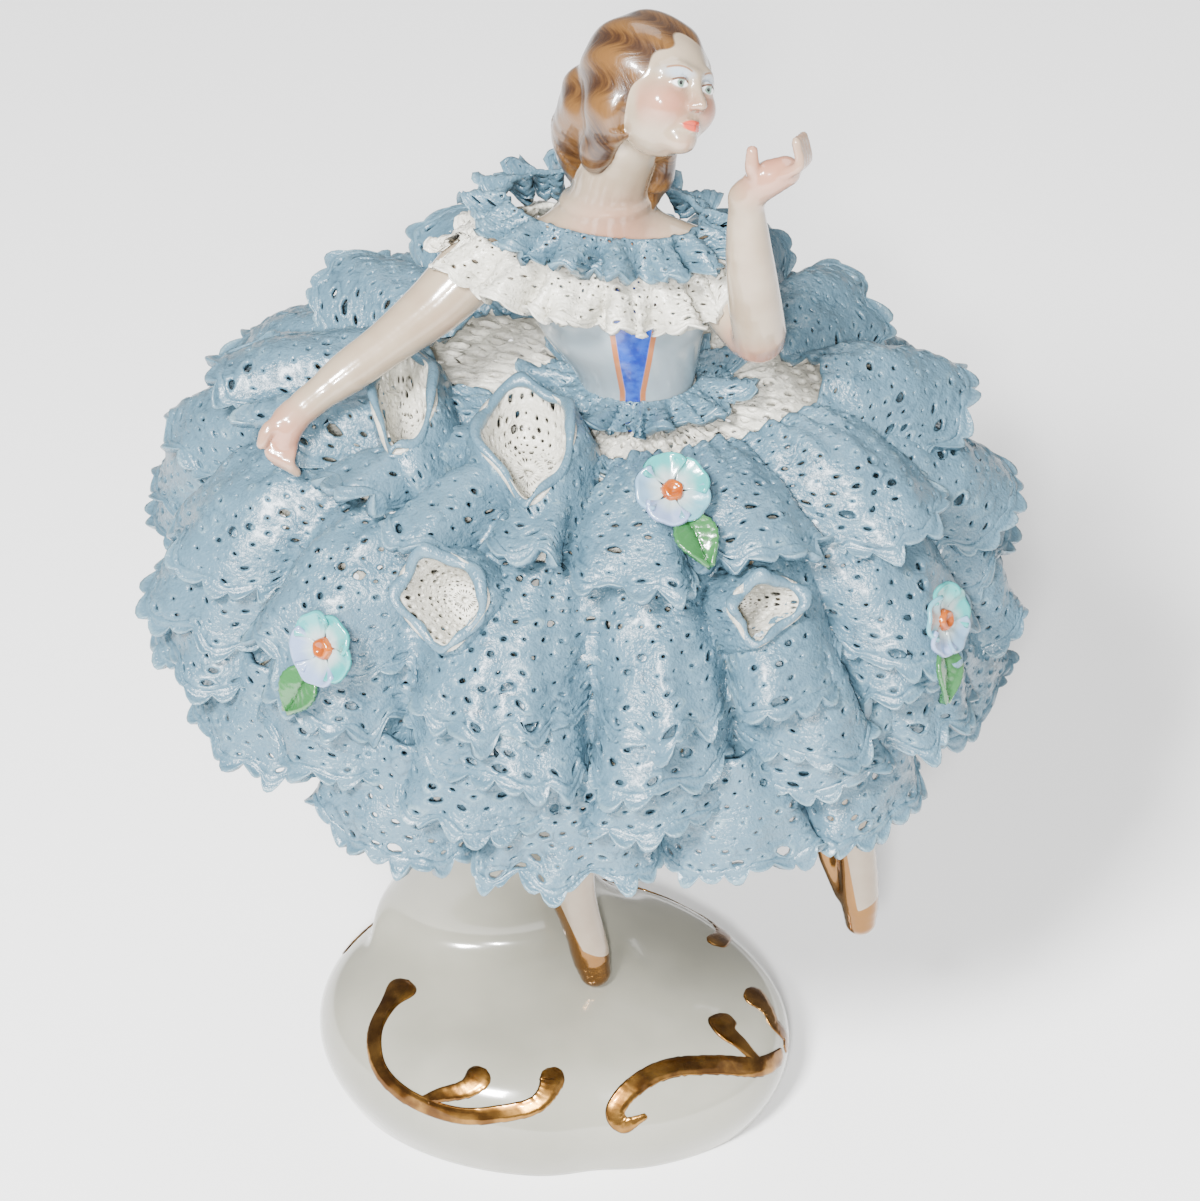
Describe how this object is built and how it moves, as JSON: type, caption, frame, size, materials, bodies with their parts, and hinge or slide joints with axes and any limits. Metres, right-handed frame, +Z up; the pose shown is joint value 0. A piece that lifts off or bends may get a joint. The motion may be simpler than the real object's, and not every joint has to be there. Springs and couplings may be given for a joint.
{
  "type": "lace dancer figurine",
  "caption": "Porcelain ballet dancer standing on one toe on a moulded mound, in a wide tiered skirt of fired lace with small modelled flowers",
  "frame": {"origin": "centre of the flat underside of the mound, on the surface it stands on", "axes": "+Z up; -Y is the side the dancer's chest faces; +X is the side of her raised hand"},
  "size_m": [0.0973, 0.0858, 0.1417],
  "materials": {
    "white_glaze": "white porcelain under a clear glaze, with gilt scrolls",
    "skin_glaze": "white porcelain under a clear glaze, painted in overglaze colours and gilt",
    "blue_lace": "slip-dipped lace fired to porcelain, pale blue glaze, pierced all over",
    "white_lace": "slip-dipped net fired to porcelain, white, thinly glazed",
    "petal": "hand-modelled porcelain petals, turquoise and white, orange middle",
    "leaf_green": "hand-modelled porcelain leaf, green glaze"
  },
  "bodies": {
    "root": {"mound": "white_glaze", "dancer": "skin_glaze", "underskirt": "white_lace", "lace_tier_1": "blue_lace", "lace_tier_2": "blue_lace", "lace_tier_3": "blue_lace", "lace_tier_4": "blue_lace", "lace_tier_5": "blue_lace", "waist_frill": "blue_lace", "bertha_frill": "white_lace", "neck_frill": "blue_lace", "flower_left": "petal", "leaf_left": "leaf_green", "flower_centre": "petal", "leaf_centre": "leaf_green", "flower_right": "petal", "leaf_right": "leaf_green"}
  },
  "joints": []
}
